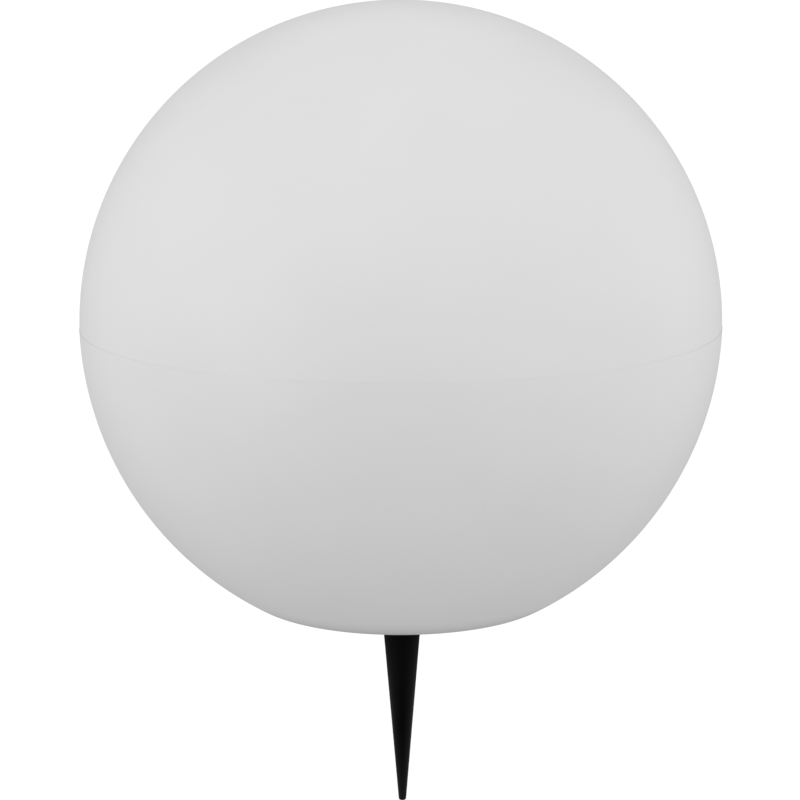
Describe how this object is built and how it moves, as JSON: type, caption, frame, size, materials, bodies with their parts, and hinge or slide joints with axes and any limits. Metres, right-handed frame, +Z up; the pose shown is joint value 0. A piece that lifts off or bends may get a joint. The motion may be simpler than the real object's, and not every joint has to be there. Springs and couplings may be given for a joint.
{
  "type": "solar garden lamp",
  "caption": "Opal globe garden lamp on a tapered ground spike, with a solar panel flush in its back and a base unit in its underside.",
  "frame": {"origin": "on the lamp's axis at the ground line, level with the globe's flat foot, where the spike starts", "axes": "+Z up along the spike and the globe's axis, -Y to the plain front, +Y to the side with the panel"},
  "size_m": [0.5003, 0.5004, 0.6379],
  "materials": {
    "opal_shell": "opal white, fine satin",
    "spike_plastic": "black, satin",
    "base_plastic": "black, fine grain",
    "soft_rubber": "matt",
    "backsheet": "black",
    "silicon": "dark blue",
    "clear_sheet": "clear, gloss",
    "steel": "bright",
    "nickel": "nickel plated",
    "lead_sheath": "black",
    "white_plastic": "white",
    "cell_sleeve": "green sleeve",
    "component": "black",
    "board": "green",
    "can": "plain",
    "led_board": "white mask",
    "phosphor": "yellow",
    "diffuser": "frosted",
    "button": "dark grey, satin"
  },
  "bodies": {
    "spike": {"ground_spike": "spike_plastic"},
    "lamp": {"upper_dome": "opal_shell", "lower_bowl": "opal_shell", "seam_seal": "soft_rubber", "solar_tray": "base_plastic", "solar_gasket": "soft_rubber", "solar_backsheet": "backsheet", "solar_cells": "silicon", "solar_cover": "clear_sheet", "solar_washers": "steel", "solar_screws": "steel", "panel_grommet": "soft_rubber", "panel_lead": "lead_sheath", "lead_clips": "white_plastic", "base_grommet": "soft_rubber", "base_housing": "base_plastic", "base_gasket": "soft_rubber", "base_screws": "steel", "battery_cover": "base_plastic", "battery_cover_seal": "soft_rubber", "battery_cover_screws": "steel", "battery_cell_1": "cell_sleeve", "battery_cell_2": "cell_sleeve", "battery_plus_terminal": "nickel", "battery_minus_terminal": "nickel", "battery_bridge": "nickel", "battery_wires": "lead_sheath", "button_seal": "soft_rubber", "switch_body": "component", "circuit_board": "board", "charge_controller": "component", "boost_coil": "component", "storage_capacitor": "can", "lead_connector": "white_plastic", "board_screws": "steel", "lamp_deck": "white_plastic", "deck_screws": "steel", "led_board": "led_board", "led_chips": "phosphor", "led_screws": "steel", "led_wires": "lead_sheath", "led_diffuser": "diffuser"},
    "button": {"power_button": "button", "button_clip": "steel", "switch_plunger": "component"}
  },
  "joints": [
    {"name": "lift_off", "type": "slide", "parent": "spike", "child": "lamp", "axis": [0, 0, 1], "range_m": [0, 0.06]},
    {"name": "button_press", "type": "slide", "parent": "lamp", "child": "button", "axis": [0, 0, 1], "range_m": [0, 0.002], "stiffness_N_per_m": 400, "springref_m": -0.002}
  ]
}
